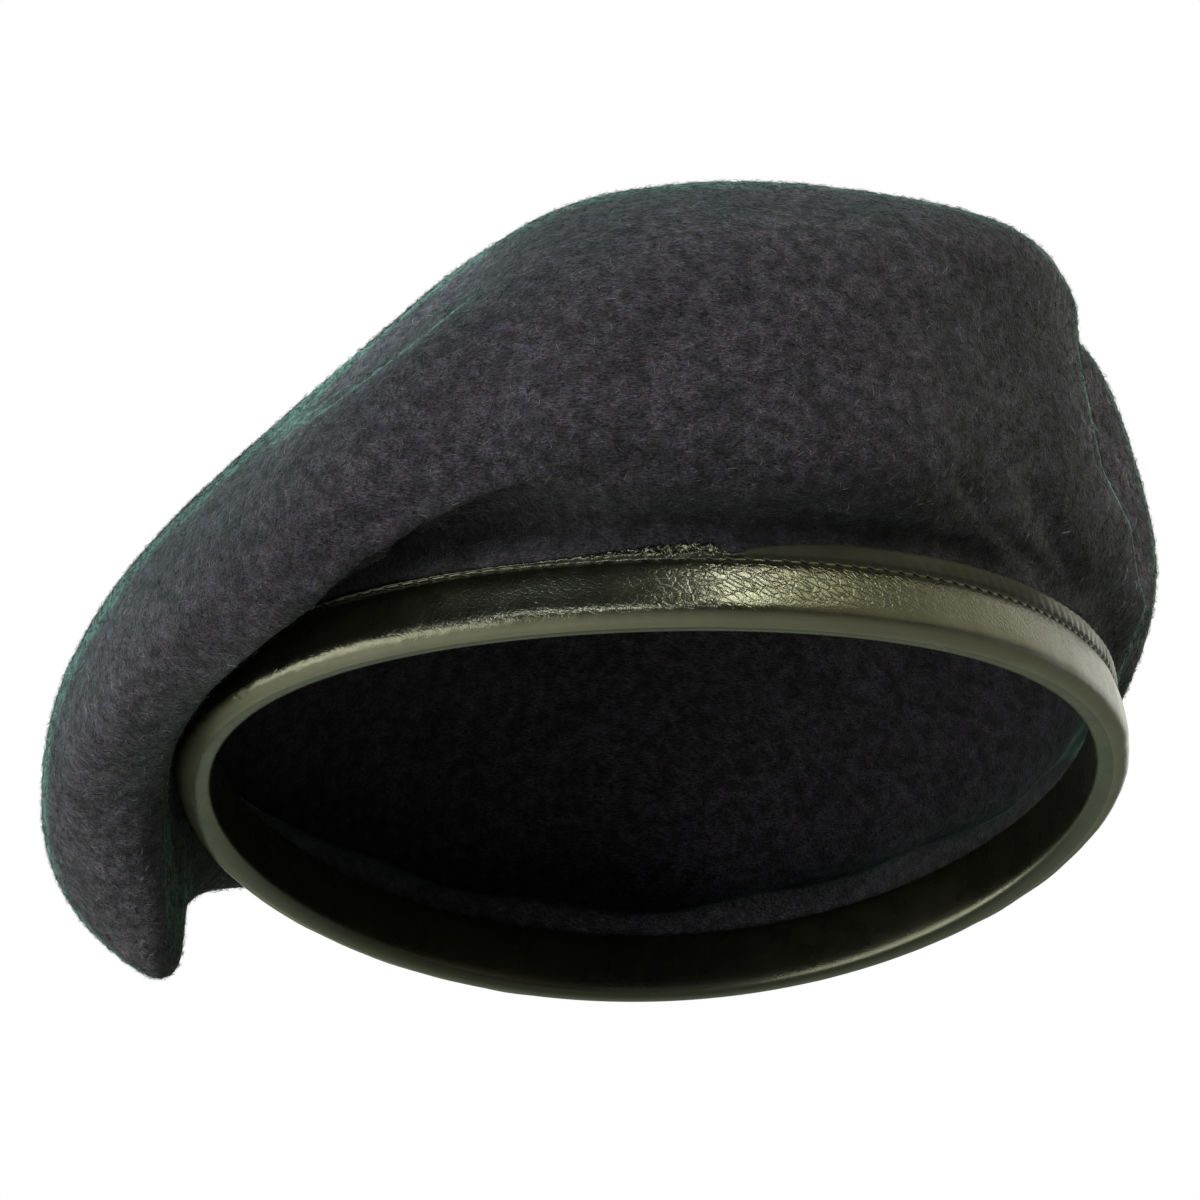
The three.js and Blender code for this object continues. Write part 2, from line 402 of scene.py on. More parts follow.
# felt: charcoal wool with short fibres lying every way, felted together
feltFinish = {
    "dark": (0.0022, 0.0021, 0.0030, 1),
    "plain": (0.0134, 0.0123, 0.0176, 1),
    "light": (0.1450, 0.1330, 0.1780, 1),
    "brown": (0.0290, 0.0200, 0.0160, 1),
    "blue": (0.0120, 0.0140, 0.0360, 1),
    "pink": (0.0330, 0.0150, 0.0290, 1),
    "green": (0.0130, 0.0210, 0.0170, 1),
    "fibreWidth": 0.23 * mm,
    "fibreStretch": 4.5,
    "clumps": 1.0 * mm,
    "flecks": (2.6 * mm, 0.60, 1.40),  # their size, and how dark and how light they turn the wool
    "shader": {"Roughness": 0.95, "Specular IOR Level": 0.25, "Sheen Weight": 0.17, "Sheen Roughness": 0.07,
               "Sheen Tint": (0.56, 1.0, 0.96, 1)},
    "tints": {"brown": 640.0, "blue": 560.0, "pink": 700.0, "green": 610.0},  # how many to a metre
    "rim": (0.075, 0.200, 0.175, 1),  # the grazing light caught in the wool's edge
    "turns": [(0, 0, 0), (0, 90, 20), (0, 40, -15), (0, -50, 10), (25, 15, 90)],  # degrees
}


def fibreStrokes(tree, place, vector, turn):
    f = feltFinish
    fine = 1 / f["fibreWidth"]
    turned = [math.radians(angle) for angle in turn]
    mapping = addNode(tree, "ShaderNodeMapping", place, Vector=vector, Rotation=turned,
                      Scale=(fine / f["fibreStretch"], fine, fine))
    strokes = addNode(tree, "ShaderNodeTexNoise", (place[0] + 200, place[1]), Vector=mapping.outputs[0],
                      Scale=1.0, Detail=2.0, Distortion=0.6)
    return strokes.outputs["Fac"]


def addFlecks(tree, place, vector):
    size, low, high = feltFinish["flecks"]
    cloud = addNode(tree, "ShaderNodeTexNoise", place, Vector=vector, Scale=1 / size, Detail=1.0)
    return addRamp(tree, (place[0] + 200, place[1]), cloud.outputs["Fac"], (0.25, 0.75), (low, high))


def makeFelt():
    f = feltFinish
    material, tree, shader = startMaterial("feltedWool", f["shader"])
    place = readPlace(tree)
    strokes = [fibreStrokes(tree, (-1800, 500 - 300 * i), place, turn) for i, turn in enumerate(f["turns"])]
    top = strokes[0]
    for i, stroke in enumerate(strokes[1:]):
        top = joinValues(tree, (-1300, 400 - 200 * i), "MAXIMUM", top, stroke)
    fibre = addNode(tree, "ShaderNodeMapRange", (-1100, 200), Value=top, From_Min=0.52, From_Max=0.80)
    clumps = addMottle(tree, (-1500, -900), place, 1 / f["clumps"], 0.40, 0.60)
    patches = addMottle(tree, (-1500, -1100), place, 45.0, 0.35, 0.68)
    color = mixColors(tree, (-900, 0), clumps, f["dark"], f["plain"])
    for i, (name, size) in enumerate(f["tints"].items()):
        tint = addMottle(tree, (-1500, -1300 - 200 * i), place, size, 0.52, 0.70)
        color = mixColors(tree, (-800 + 120 * i, -100), tint, color, f[name], 0.7)
    color = mixColors(tree, (-300, 0), patches, color, f["plain"], 0.25)
    color = mixColors(tree, (-100, 100), fibre.outputs["Result"], color, f["light"], 0.55)
    # painted rim highlight: the wool's colour turns pale teal where it is seen edge-on
    facing = addNode(tree, "ShaderNodeLayerWeight", (-500, 350), Blend=0.5).outputs["Facing"]
    edge = addRamp(tree, (-300, 350), facing, (0.84, 0.98), (0.0, 0.9))
    color = mixColors(tree, (0, 250), edge, color, f["rim"])
    # painted light and shade: the shade attribute, with the worn patches and flecks, scales the wool's
    # colour
    shade = addNode(tree, "ShaderNodeAttribute", (-300, 600), {"attribute_name": "shade"}).outputs["Fac"]
    shade = joinValues(tree, (-100, 500), "MULTIPLY", shade, addFlecks(tree, (-500, 500), place))
    fibreLift = scaleValue(tree, (-900, -600), fibre.outputs["Result"], 0.5)
    lift = joinValues(tree, (-700, -500), "ADD", fibreLift, clumps)
    feedNode(tree, shader, Base_Color=scaleColor(tree, (120, 200), color, shade),
             Normal=addBump(tree, (0, -400), lift, 0.9, 0.22 * mm))
    return material


# crown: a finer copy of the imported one, with its wrinkles drawn in
crownSettings = {
    "columns": 96,
    "middle": (-12 * mm, 0.0),
    "subdivisions": 2,
    "freeRings": 19.5,  # the rings up to this one move freely
    "visibleRings": 20.9,  # the rings past this one stand in the binding
    "innerRing": 23.5,  # the rings past this one are the felt's inner face
    "finerWithin": 26,  # px from a crease
    "undulation": {"size": 15 * mm, "depth": 0.30 * mm},
    "ripple": {"size": 5 * mm, "depth": 0.09 * mm},
    # the face's right edge, in the photograph's pixels, which stands before the bulge behind it
    "faceEdge": {"rows": (262, 300, 363, 468, 526, 607), "columns": (1062, 1072, 1082, 1103, 1132, 1146)},
    "edgeRound": 5,  # px
    "edgeRows": (290, 350, 560, 610),  # where the edge starts, is full, ends and is gone
    "edgeBack": (-14 * mm, 14 * mm),
    "valley": {"depth": 6.0 * mm, "y": -5 * mm, "width": 10 * mm},
}

# creases on the face side, along lines in the photograph's pixels, walked downwards; depth stands out of the
# felt, and a lip falls in steeply on the right of its line
creases = [
    {"form": "lip", "width": 13, "depth": 1.6 * mm, "recess": 85, "fall": 6.0 * mm, "edge": 12,
     "line": [(610, 462), (565, 466), (532, 473), (505, 482), (470, 496), (420, 518), (390, 537), (362, 552),
              (330, 578), (300, 606), (262, 645), (230, 682), (205, 722), (188, 762)]},
    {"form": "fold", "width": 56, "depth": 3.6 * mm,
     "line": [(470, 420), (560, 428), (660, 436), (780, 442), (900, 452), (1000, 470)]},
    {"form": "fold", "width": 28, "depth": -2.6 * mm,
     "line": [(420, 552), (500, 538), (600, 532), (700, 531), (800, 534), (900, 545), (990, 566)]},
    {"form": "fold", "width": 14, "depth": -0.6 * mm,
     "line": [(1008, 320), (1026, 375), (1044, 430), (1056, 480)]},
    {"form": "fold", "width": 12, "depth": 0.5 * mm,
     "line": [(1030, 400), (1050, 470), (1080, 530), (1104, 590)]},
    {"form": "fold", "width": 12, "depth": -0.6 * mm,
     "line": [(1022, 468), (1046, 520), (1062, 560), (1092, 612)]},
    {"form": "fold", "width": 10, "depth": -0.55 * mm,
     "line": [(940, 460), (975, 500), (1008, 540), (1044, 572)]},
    {"form": "fold", "width": 10, "depth": 0.4 * mm,
     "line": [(985, 440), (1012, 490), (1030, 540), (1060, 580)]},
    {"form": "fold", "width": 11, "depth": -0.6 * mm,
     "line": [(860, 520), (910, 530), (960, 545), (1004, 566)]},
    {"form": "fold", "width": 10, "depth": -1.3 * mm,
     "line": [(505, 262), (470, 284), (430, 317), (380, 356), (330, 394), (286, 430)]},
    {"form": "fold", "width": 12, "depth": 0.7 * mm,
     "line": [(500, 290), (450, 326), (400, 366), (350, 402), (300, 440), (250, 486)]},
    {"form": "fold", "width": 13, "depth": -1.6 * mm,
     "line": [(168, 782), (164, 808), (160, 840), (158, 885)]},
]


# the share of its line over which a crease rises, by form, and then fades
creaseEnds = {"lip": 0.32, "fold": 0.18, "last": 0.2}

# painted light and shade: the wool is painted lighter along its lit crests, on the bulge at the right and on
# the drape, and darker in the shaded tuck above the binding
paintedLightAndShade = [
    {"width": 15, "share": 1.1, "line": [(480, 262), (430, 300), (376, 346), (322, 392), (285, 428)]},
    {"width": 16, "share": 0.8, "line": [(1048, 250), (1062, 300), (1074, 363), (1092, 440), (1112, 500)]},
    {"width": 18, "share": 0.5, "line": [(1112, 500), (1134, 560), (1140, 620), (1136, 660)]},
    {"width": 18, "share": 0.8, "line": [(1104, 390), (1126, 460), (1142, 520), (1146, 580)]},
    {"width": 30, "share": -0.55,
     "line": [(330, 610), (420, 545), (500, 530), (600, 525), (700, 524), (800, 528), (900, 540),
              (980, 562)]},
    {"width": 50, "share": 0.35, "line": [(110, 640), (90, 740), (100, 840), (150, 920)]},
]
wornPatches = {"size": 9 * mm, "depth": 0.26}


def ringsFromPoles(mesh):
    ends = readEdges(mesh)
    count = len(mesh.vertices)
    links = np.bincount(ends.ravel(), minlength=count)
    poles = np.where(links == crownSettings["columns"])[0]
    points = readPoints(mesh)
    outerPole = poles[np.argmax(points[poles, 2])]
    ring = np.full(count, -1)
    ring[outerPole] = 0
    level = 0
    while (ring < 0).any():
        reached = ring == level
        near = ends[reached[ends].any(1)].ravel()
        fresh = near[ring[near] < 0]
        if len(fresh) == 0:
            break
        ring[fresh] = level + 1
        level += 1
    return ring, ends, points


def crownDiagonals(mesh):
    ring, ends, points = ringsFromPoles(mesh)
    middle = crownSettings["middle"]
    turn = np.arctan2(points[:, 0] - middle[0], -(points[:, 1] - middle[1]))
    across = ring[ends[:, 0]] != ring[ends[:, 1]]
    upper = np.where(ring[ends[:, 0]] < ring[ends[:, 1]], ends[:, 0], ends[:, 1])
    lower = ends.sum(1) - upper
    ahead = (turn[lower] - turn[upper] + np.pi) % (2 * np.pi) - np.pi
    isDiagonal = np.zeros(len(ends), bool)
    last = ring.max()
    pairs = {}
    for edge in np.where(across)[0]:
        if ring[upper[edge]] > 0 and ring[lower[edge]] < last:
            pairs.setdefault(upper[edge], []).append(edge)
    for edges in pairs.values():
        if len(edges) == 2:
            isDiagonal[max(edges, key=lambda edge: ahead[edge])] = True
    return isDiagonal, ring


def makeCrown():
    s = crownSettings
    crown = copyNode("crown", "feltCrown")
    isDiagonal, ring = crownDiagonals(crown.data)
    storeAttribute(crown.data, "ring", ring)
    dissolveDiagonals(crown, isDiagonal)
    quads = sum(len(face.vertices) == 4 for face in crown.data.polygons)
    print("crown cage:", quads, "quads of", len(crown.data.polygons), "faces")
    applySubdivision(crown, s["subdivisions"])
    return crown


def nearLine(pixels, line):
    nearest = np.full(len(pixels), 1e9)
    side = np.zeros(len(pixels))
    share = np.zeros(len(pixels))
    corners = np.array(line, float)
    steps = np.linalg.norm(np.diff(corners, axis=0), axis=1)
    walked = np.concatenate([[0], np.cumsum(steps)]) / steps.sum()
    for i in range(len(line) - 1):
        start, step = corners[i], corners[i + 1] - corners[i]
        t = np.clip(((pixels - start) @ step) / (step @ step), 0, 1)
        away = pixels - start - t[:, None] * step
        gap = np.linalg.norm(away, axis=1)
        closer = gap < nearest
        nearest[closer] = gap[closer]
        side[closer] = np.sign(away[:, 0] * step[1] - away[:, 1] * step[0])[closer]
        share[closer] = (walked[i] + t * (walked[i + 1] - walked[i]))[closer]
    return nearest, side, share


def seenFromFront(piece):
    points = readPoints(piece.data)
    facing = -readNormals(piece.data)[:, 1]
    eye = Vector(view["place"])
    tree = treeOf(piece.data)
    seen = np.zeros(len(points))
    for i in np.where(facing > -0.2)[0]:
        point = Vector(points[i])
        ray = point - eye
        hit = tree.ray_cast(eye, ray.normalized(), ray.length - 2 * mm)
        seen[i] = hit[0] is None
    return seen, facing


def noiseAt(points, size, seed):
    offset = Vector((seed * 7.31, seed * 3.17, seed * 5.53))
    return np.array([noise.noise(Vector(point) / size + offset) for point in points])


def refineNearCreases(piece, seen):
    pixels = toPixels(readPoints(piece.data))
    near = np.zeros(len(pixels), bool)
    for crease in creases:
        near |= nearLine(pixels, crease["line"])[0] < crownSettings["finerWithin"]
    near &= seen > 0.5
    selectWhere(piece, "FACE", lambda face: all(near[vertex.index] for vertex in face.verts))
    bpy.ops.mesh.subdivide(number_cuts=1, quadcorner="INNERVERT")
    bpy.ops.mesh.vertices_smooth(factor=0.5, repeat=1)
    bpy.ops.object.mode_set(mode="OBJECT")


def creaseLift(crease, pixels):
    gap, side, share = nearLine(pixels, crease["line"])
    ends = smoothStep(0, creaseEnds[crease["form"]], share) * smoothStep(0, creaseEnds["last"], 1 - share)
    lift = crease["depth"] * np.exp(-(gap / crease["width"]) ** 2)
    if crease["form"] == "lip":
        fallen = smoothStep(0, crease["edge"], gap) * np.exp(-(gap / crease["recess"]) ** 2)
        lift = np.where(side > 0, lift - crease["fall"] * fallen, lift)
    return lift * ends


def clearOfBinding(ring):
    return 1 - smoothStep(crownSettings["freeRings"], crownSettings["visibleRings"], ring)


def drawFaceEdge(piece):
    # the right side is drawn in behind the face's edge, and then in again as a valley
    s = crownSettings
    mesh = piece.data
    points, normals = readPoints(mesh), readNormals(mesh)
    pixels = toPixels(points)
    ring = readAttribute(mesh, "ring")
    past = pixels[:, 0] - np.interp(pixels[:, 1], s["faceEdge"]["rows"], s["faceEdge"]["columns"])
    past = 0.5 * (past + np.hypot(past, s["edgeRound"])) * (1 + points[:, 1]) / view["focal"]
    valley = s["valley"]
    dent = valley["depth"] * np.exp(-((points[:, 1] - valley["y"]) / valley["width"]) ** 2)
    rows = smoothStep(*s["edgeRows"][:2], pixels[:, 1]) * (1 - smoothStep(*s["edgeRows"][2:], pixels[:, 1]))
    share = rows * clearOfBinding(ring) * smoothStep(0, 0.25, normals[:, 0])
    inwards = (past * (1 - smoothStep(*s["edgeBack"], points[:, 1])) + dent) * share
    moves = inwards[:, None] * np.array((-1.0, 0, 0))
    followOuter(mesh, points, moves)
    writePoints(mesh, points + moves)


def drawCreases(piece):
    mesh = piece.data
    seen, facing = seenFromFront(piece)
    points, normals = readPoints(mesh), readNormals(mesh)
    pixels = toPixels(points)
    ring = readAttribute(mesh, "ring")
    lift = sum(creaseLift(crease, pixels) for crease in creases) * seen * smoothStep(-0.1, 0.25, facing)
    moves = normals * (lift * clearOfBinding(ring))[:, None]
    followOuter(mesh, points, moves)
    writePoints(mesh, points + moves)


def followOuter(mesh, points, moves):
    # the felt's inner face moves with the outer one, which keeps its thickness
    ring = readAttribute(mesh, "ring")
    outer = np.where(ring < crownSettings["innerRing"] - 1)[0]
    tree = KDTree(len(outer))
    for place, index in enumerate(outer):
        tree.insert(points[index], place)
    tree.balance()
    for index in np.where(ring >= crownSettings["innerRing"] + 1)[0]:
        moves[index] = moves[outer[tree.find(points[index])[1]]]


def shadeFelt(piece):
    points = readPoints(piece.data)
    pixels = toPixels(points)
    facing = -readNormals(piece.data)[:, 1]
    front = smoothStep(40 * mm, 10 * mm, points[:, 1]) * smoothStep(-0.12, 0.22, facing)
    shade = np.ones(len(points))
    # painted light and shade along the listed lines, only on the faces turned to the front
    for paintedLine in paintedLightAndShade:
        gap = nearLine(pixels, paintedLine["line"])[0]
        shade += paintedLine["share"] * np.exp(-(gap / paintedLine["width"]) ** 2) * front
    shade *= 1 + wornPatches["depth"] * noiseAt(points, wornPatches["size"], 11)
    storeAttribute(piece.data, "shade", np.clip(shade, 0.25, 3))


def drawUndulations(piece):
    mesh = piece.data
    points, normals = readPoints(mesh), readNormals(mesh)
    ring = readAttribute(mesh, "ring")
    s = crownSettings
    free = 1 - smoothStep(s["visibleRings"] - 2, s["visibleRings"], ring)
    inner = smoothStep(s["innerRing"] + 2, s["innerRing"] + 4, ring)
    lift = s["undulation"]["depth"] * noiseAt(points, s["undulation"]["size"], 1)
    lift += s["ripple"]["depth"] * noiseAt(points, s["ripple"]["size"], 2)
    writePoints(mesh, points + normals * (lift * np.maximum(free, 0.5 * inner))[:, None])


crown = makeCrown()
drawUndulations(crown)
refineNearCreases(crown, seenFromFront(crown)[0])
drawCreases(crown)
drawFaceEdge(crown)
shadeFelt(crown)
crown.data.materials.clear()
crown.data.materials.append(makeFelt())
pick(crown)
bpy.ops.object.shade_smooth()
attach(crown, "root")
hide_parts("crown")
print("crown made:", len(crown.data.polygons), "faces")


# the line of the head opening, as an egg with its narrow end in front, tipped back
hatLine = {
    "halfWidth": 82 * mm,
    "halfLength": 106 * mm,
    "narrowFront": 0.055,
    "dip": 9 * mm,
    "tippedBack": 20.5,
    "leftUp": 1.5,
    "samples": 2880,
}


def lineTable():
    s = hatLine
    turn = np.linspace(0, 2 * np.pi, s["samples"], endpoint=False)
    line = np.stack([
        s["halfWidth"] * np.sin(turn) * (1 - s["narrowFront"] * np.cos(turn)),
        -s["halfLength"] * np.cos(turn),
    ], 1)
    step = np.roll(line, -1, 0) - np.roll(line, 1, 0)
    along = step / np.linalg.norm(step, axis=1)[:, None]
    lengths = np.linalg.norm(np.roll(line, -1, 0) - line, axis=1)
    run = np.concatenate([[0], np.cumsum(lengths)])
    return {"turn": turn, "line": line, "along": along, "run": run[:-1], "around": run[-1]}


def hatTurn():
    back, left = -math.radians(hatLine["tippedBack"]), -math.radians(hatLine["leftUp"])
    aroundX = np.array([
        [1, 0, 0],
        [0, math.cos(back), -math.sin(back)],
        [0, math.sin(back), math.cos(back)],
    ])
    aroundY = np.array([
        [math.cos(left), 0, math.sin(left)],
        [0, 1, 0],
        [-math.sin(left), 0, math.cos(left)],
    ])
    return aroundY @ aroundX


table = lineTable()
tilt = hatTurn()


def toLine(points):
    local = points @ tilt
    plan = local[:, :2]
    nearest = np.zeros(len(plan), int)
    for start in range(0, len(plan), 4000):
        part = plan[start:start + 4000]
        gaps = ((part[:, None, :] - table["line"][None, :, :]) ** 2).sum(2)
        nearest[start:start + 4000] = gaps.argmin(1)
    away = plan - table["line"][nearest]
    along = table["along"][nearest]
    out = away[:, 0] * along[:, 1] - away[:, 1] * along[:, 0]
    run = table["run"][nearest] + (away * along).sum(1)
    up = local[:, 2] + hatLine["dip"] * np.cos(table["turn"][nearest]) ** 2
    return {"turn": table["turn"][nearest], "run": run, "out": out, "up": up}


def fromLine(run, out, up):
    turn = np.interp(run % table["around"], np.append(table["run"], table["around"]),
                     np.append(table["turn"], 2 * np.pi))
    index = (turn / (2 * np.pi) * hatLine["samples"]).astype(int) % hatLine["samples"]
    line = np.stack([
        hatLine["halfWidth"] * np.sin(turn) * (1 - hatLine["narrowFront"] * np.cos(turn)),
        -hatLine["halfLength"] * np.cos(turn),
    ], 1)
    along = table["along"][index]
    outwards = np.stack([along[:, 1], -along[:, 0]], 1)
    plan = line + outwards * np.broadcast_to(out, run.shape)[:, None]
    height = up - hatLine["dip"] * np.cos(turn) ** 2
    local = np.concatenate([plan, np.broadcast_to(height, run.shape)[:, None]], 1)
    return local @ tilt.T


# binding: black grained leather, puckered between its stitches
bindingSettings = {
    "subdivisions": 2,
    "cutsAround": 3,
    "seamHeight": 13.5 * mm,
    "footRaise": (1.9 * mm, 6.5 * mm),  # how far the foot is drawn up, and up to what height
    "flangeTop": 15 * mm,
    "slide": ((0, 8, 11.5, 15), (0, 8.6, 13.5, 15)),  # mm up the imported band, and up the finished one
    # how far the flange stands above its top, by degrees round from the front towards the wearer's left
    "taller": {"degrees": (-100, -70, -14, -7, -1, 4, 7, 9.4, 12, 17, 23, 105, 150),
               "mm": (0, -0.6, -0.5, 0.2, 1.2, 1.9, 1.7, -0.3, 0.8, 1.9, 2.5, 2.4, 0)},
    "overFelt": 0.5 * mm,
    "mostShift": 6 * mm,  # for that, the furthest that it is moved out
    "leanBack": 0.7 * mm,
    "stitches": 190,
    "pucker": 0.16 * mm,
    "puckerUnder": {"depth": 0.16 * mm, "width": 1.3 * mm},  # and just under the seam
    "slant": 1.3 * mm,  # how far a pucker leans over the flange's height
    "uneven": 11 * mm,  # over this length some puckers are deeper than others
    "seamGroove": {"width": 0.45 * mm, "depth": 0.35 * mm},
    "undulation": {"size": 9 * mm, "depth": 0.20 * mm},
    "crinkle": {"size": 1.15 * mm, "depth": 0.34 * mm},
    "ridge": {"up": 4.4 * mm, "width": 1.80 * mm, "depth": 0.50 * mm, "pitch": 1.2 * mm, "lean": 1.2,
              "crumple": 1.2 * mm, "broken": 2.2 * mm},
    "crumpleUp": (5.2 * mm, 6.8 * mm),  # the roll is crumpled above these heights
    # columns of the photograph between which each of these changes
    "glossyTo": (722, 756),  # the crinkled gloss on the left gives way to the matte right side
    "crumpleFrom": (600, 740),
    "crumpleTo": (980, 840),
    "crestCrumpleTo": (850, 700),
    "crestTo": (830, 700),
    "deepPuckers": (1000, 1060),
    "paleFlange": (985, 1090),
}

leatherFinish = {
    "dark": (0.0026, 0.0026, 0.0025, 1),
    "plain": (0.0050, 0.0050, 0.0045, 1),
    "worn": (0.0160, 0.0155, 0.0120, 1),
    "flange": (0.0060, 0.0060, 0.0054, 1),
    # painted light: the binding's bottom strip is painted pale, where the light from below falls on it
    "foot": (0.2200, 0.2150, 0.1900, 1),
    "shader": {"Specular IOR Level": 0.5, "Specular Tint": (0.98, 1.0, 0.74, 1),
               "Coat Tint": (0.98, 1.0, 0.74, 1), "Coat Roughness": 0.22},
    "paintedLightFootTop": (2.6 * mm, 4.2 * mm),
    "grain": 0.50 * mm,
    "wander": 0.0006,  # how far the cells wander from straight sides
    "web": 1.0 * mm,
    "webStretch": 0.45,  # the crumpled cells are long and lie aslant
    "webTurn": -28,
    "roughness": (0.24, 0.36),
}


def bindingDiagonals(mesh):
    ends = readEdges(mesh)
    at = toLine(readPoints(mesh))
    first, second = ends[:, 0], ends[:, 1]
    turned = np.abs((at["turn"][first] - at["turn"][second] + np.pi) % (2 * np.pi) - np.pi)
    moved = np.hypot(at["out"][first] - at["out"][second], at["up"][first] - at["up"][second])
    return (turned > math.radians(1.5)) & (moved > 0.12 * mm)


def makeBinding():
    s = bindingSettings
    binding = copyNode("band", "leatherBinding")
    dissolveDiagonals(binding, bindingDiagonals(binding.data))
    quads = sum(len(face.vertices) == 4 for face in binding.data.polygons)
    print("binding cage:", quads, "quads of", len(binding.data.polygons), "faces")
    applySubdivision(binding, s["subdivisions"])
    return binding


def addCutsAround(piece):
    at = toLine(readPoints(piece.data))
    outer = at["out"] > 1.9 * mm

    def runsAround(edge):
        a, b = (vertex.index for vertex in edge.verts)
        turned = abs((at["turn"][a] - at["turn"][b] + math.pi) % (2 * math.pi) - math.pi)
        return outer[a] and outer[b] and turned > math.radians(0.5)

    selectWhere(piece, "EDGE", runsAround)
    bpy.ops.mesh.subdivide(number_cuts=bindingSettings["cutsAround"])
    bpy.ops.object.mode_set(mode="OBJECT")


def puckerShare(run):
    s = bindingSettings
    phase = run / table["around"] * s["stitches"]
    return np.abs(np.sin(math.pi * phase)) ** 0.7


def tallerBy(turn):
    t = bindingSettings["taller"]
    degrees = (np.degrees(turn) + 180) % 360 - 180
    return np.interp(degrees, t["degrees"], t["mm"], left=0, right=0) * mm


def overFelt(run, height, out):
    # how far the flange must stand further out to clear the felt behind it
    reach = 20 * mm
    tree = treeOf(crown.data)
    far = fromLine(run, np.full(len(run), reach), height)
    near = fromLine(run, np.zeros(len(run)), height)
    shift = np.zeros(len(run))
    for i in np.where((height > bindingSettings["seamHeight"]) & (out > 1.2 * mm))[0]:
        hit = tree.ray_cast(Vector(far[i]), Vector(near[i] - far[i]).normalized(), reach)
        if hit[0] is not None:
            clear = reach - hit[3] + bindingSettings["overFelt"] + 0.5 * (out[i] - 2 * mm)
            shift[i] = max(0, clear - out[i])
    return np.minimum(shift, bindingSettings["mostShift"])


def sharesOf(mesh):
    # how far each point counts as the outer face, the front, the glossy left and the tall right
    points = readPoints(mesh)
    at = toLine(points)
    column = toPixels(points)[:, 0]
    front = smoothStep(20 * mm, -20 * mm, points[:, 1])
    return {
        "column": column,
        "front": front,
        "outer": smoothStep(1.6 * mm, 2.2 * mm, at["out"]),
        "gloss": (1 - smoothStep(*bindingSettings["glossyTo"], column)) * front,
        "right": np.clip(tallerBy(at["turn"]) / (1.5 * mm), 0, 1),
    }


def raiseFlange(mesh, shares):
    s = bindingSettings
    at = toLine(readPoints(mesh))
    seam, top = s["seamHeight"], s["flangeTop"]
    height = np.interp(at["up"], *(np.array(row) * mm for row in s["slide"]))
    height += tallerBy(at["turn"]) * smoothStep(seam, top, height)
    shift = overFelt(at["run"], height, at["out"]) * shares["right"] - s["leanBack"] * shares["gloss"]
    out = at["out"] + shift * smoothStep(seam, top, height)
    up = at["up"] + (height - at["up"]) * shares["outer"]
    raised, below = s["footRaise"]
    up += raised * (1 - smoothStep(0, below, up))
    writePoints(mesh, fromLine(at["run"], out, up))


def puckerLift(at, points, shares):
    s = bindingSettings
    seam = s["seamHeight"]
    lean = s["slant"] * (at["up"] - seam) / (s["flangeTop"] - seam)
    uneven = 0.75 + 0.5 * noiseAt(points, s["uneven"], 3)
    deeper = 1 + 0.5 * shares["right"] + 0.9 * smoothStep(*s["deepPuckers"], shares["column"])
    lift = s["pucker"] * deeper * (puckerShare(at["run"] + lean) - 0.45) * shares["pillowed"] * uneven
    under = s["puckerUnder"]
    below = np.exp(-np.clip(seam - at["up"], 0, None) / under["width"]) * (at["up"] < seam)
    lift += under["depth"] * (puckerShare(at["run"] + 0.4 * lean) - 0.5) * below
    groove = s["seamGroove"]
    return lift - groove["depth"] * np.exp(-((at["up"] - seam) / groove["width"]) ** 2)


def rollLift(at, points, shares):
    s = bindingSettings
    lift = s["undulation"]["depth"] * noiseAt(points, s["undulation"]["size"], 4) * shares["roll"]
    ridge = s["ridge"]
    strokes = np.sin(2 * math.pi * (at["run"] + ridge["lean"] * (at["up"] - ridge["up"])) / ridge["pitch"])
    strokes = 0.8 + 0.13 * strokes + 0.35 * noiseAt(points, ridge["broken"], 6)
    crest = np.exp(-((at["up"] - ridge["up"]) / ridge["width"]) ** 2) * shares["roll"]
    seen = shares["front"] * smoothStep(*s["crestTo"], shares["column"])
    return lift + ridge["depth"] * crest * strokes * (0.15 + 0.85 * seen)


def crumpleShare(at, shares):
    s = bindingSettings
    column, onRoll = shares["column"], shares["front"] * shares["roll"]
    across = 0.25 + 0.75 * smoothStep(*s["crumpleFrom"], column)
    across *= 0.6 + 0.4 * smoothStep(*s["crumpleTo"], column)
    crest = np.exp(-((at["up"] - s["ridge"]["up"]) / s["ridge"]["crumple"]) ** 2)
    crest *= 0.7 * smoothStep(*s["crestCrumpleTo"], column)
    crumple = (smoothStep(*s["crumpleUp"], at["up"]) * across + crest) * onRoll
    return np.clip(crumple + 2 * shares["gloss"] * shares["flange"], 0, 2)


def shapeBinding(piece):
    s = bindingSettings
    mesh = piece.data
    shares = sharesOf(mesh)
    raiseFlange(mesh, shares)
    points, normals = readPoints(mesh), readNormals(mesh)
    at = toLine(points)
    seam = s["seamHeight"]
    rim = s["flangeTop"] + tallerBy(at["turn"])
    flange = shares["flange"] = smoothStep(seam + 0.2 * mm, seam + 0.9 * mm, at["up"])
    shares["pillowed"] = flange * (1 - 0.6 * smoothStep(-0.8 * mm, 0, at["up"] - rim))
    shares["roll"] = shares["outer"] * (1 - smoothStep(seam - 1.5 * mm, seam, at["up"]))
    lift = puckerLift(at, points, shares) + rollLift(at, points, shares)
    web = 1 - 3 * np.abs(noiseAt(points, s["crinkle"]["size"], 5))
    lift += s["crinkle"]["depth"] * web * shares["pillowed"] * (0.15 + 0.85 * shares["gloss"])
    writePoints(mesh, points + normals * (lift * shares["outer"])[:, None])
    pale = 0.75 * smoothStep(*s["paleFlange"], shares["column"]) * shares["front"]
    storeAttribute(mesh, "flange", flange * shares["outer"] * (1 - pale))
    storeAttribute(mesh, "gloss", shares["gloss"])
    storeAttribute(mesh, "crumple", crumpleShare(at, shares))
    storeAttribute(mesh, "up", np.where(at["out"] > 0.2 * mm, at["up"], 99 * mm))


binding = makeBinding()
addCutsAround(binding)
shapeBinding(binding)
print("binding made:", len(binding.data.polygons), "faces")


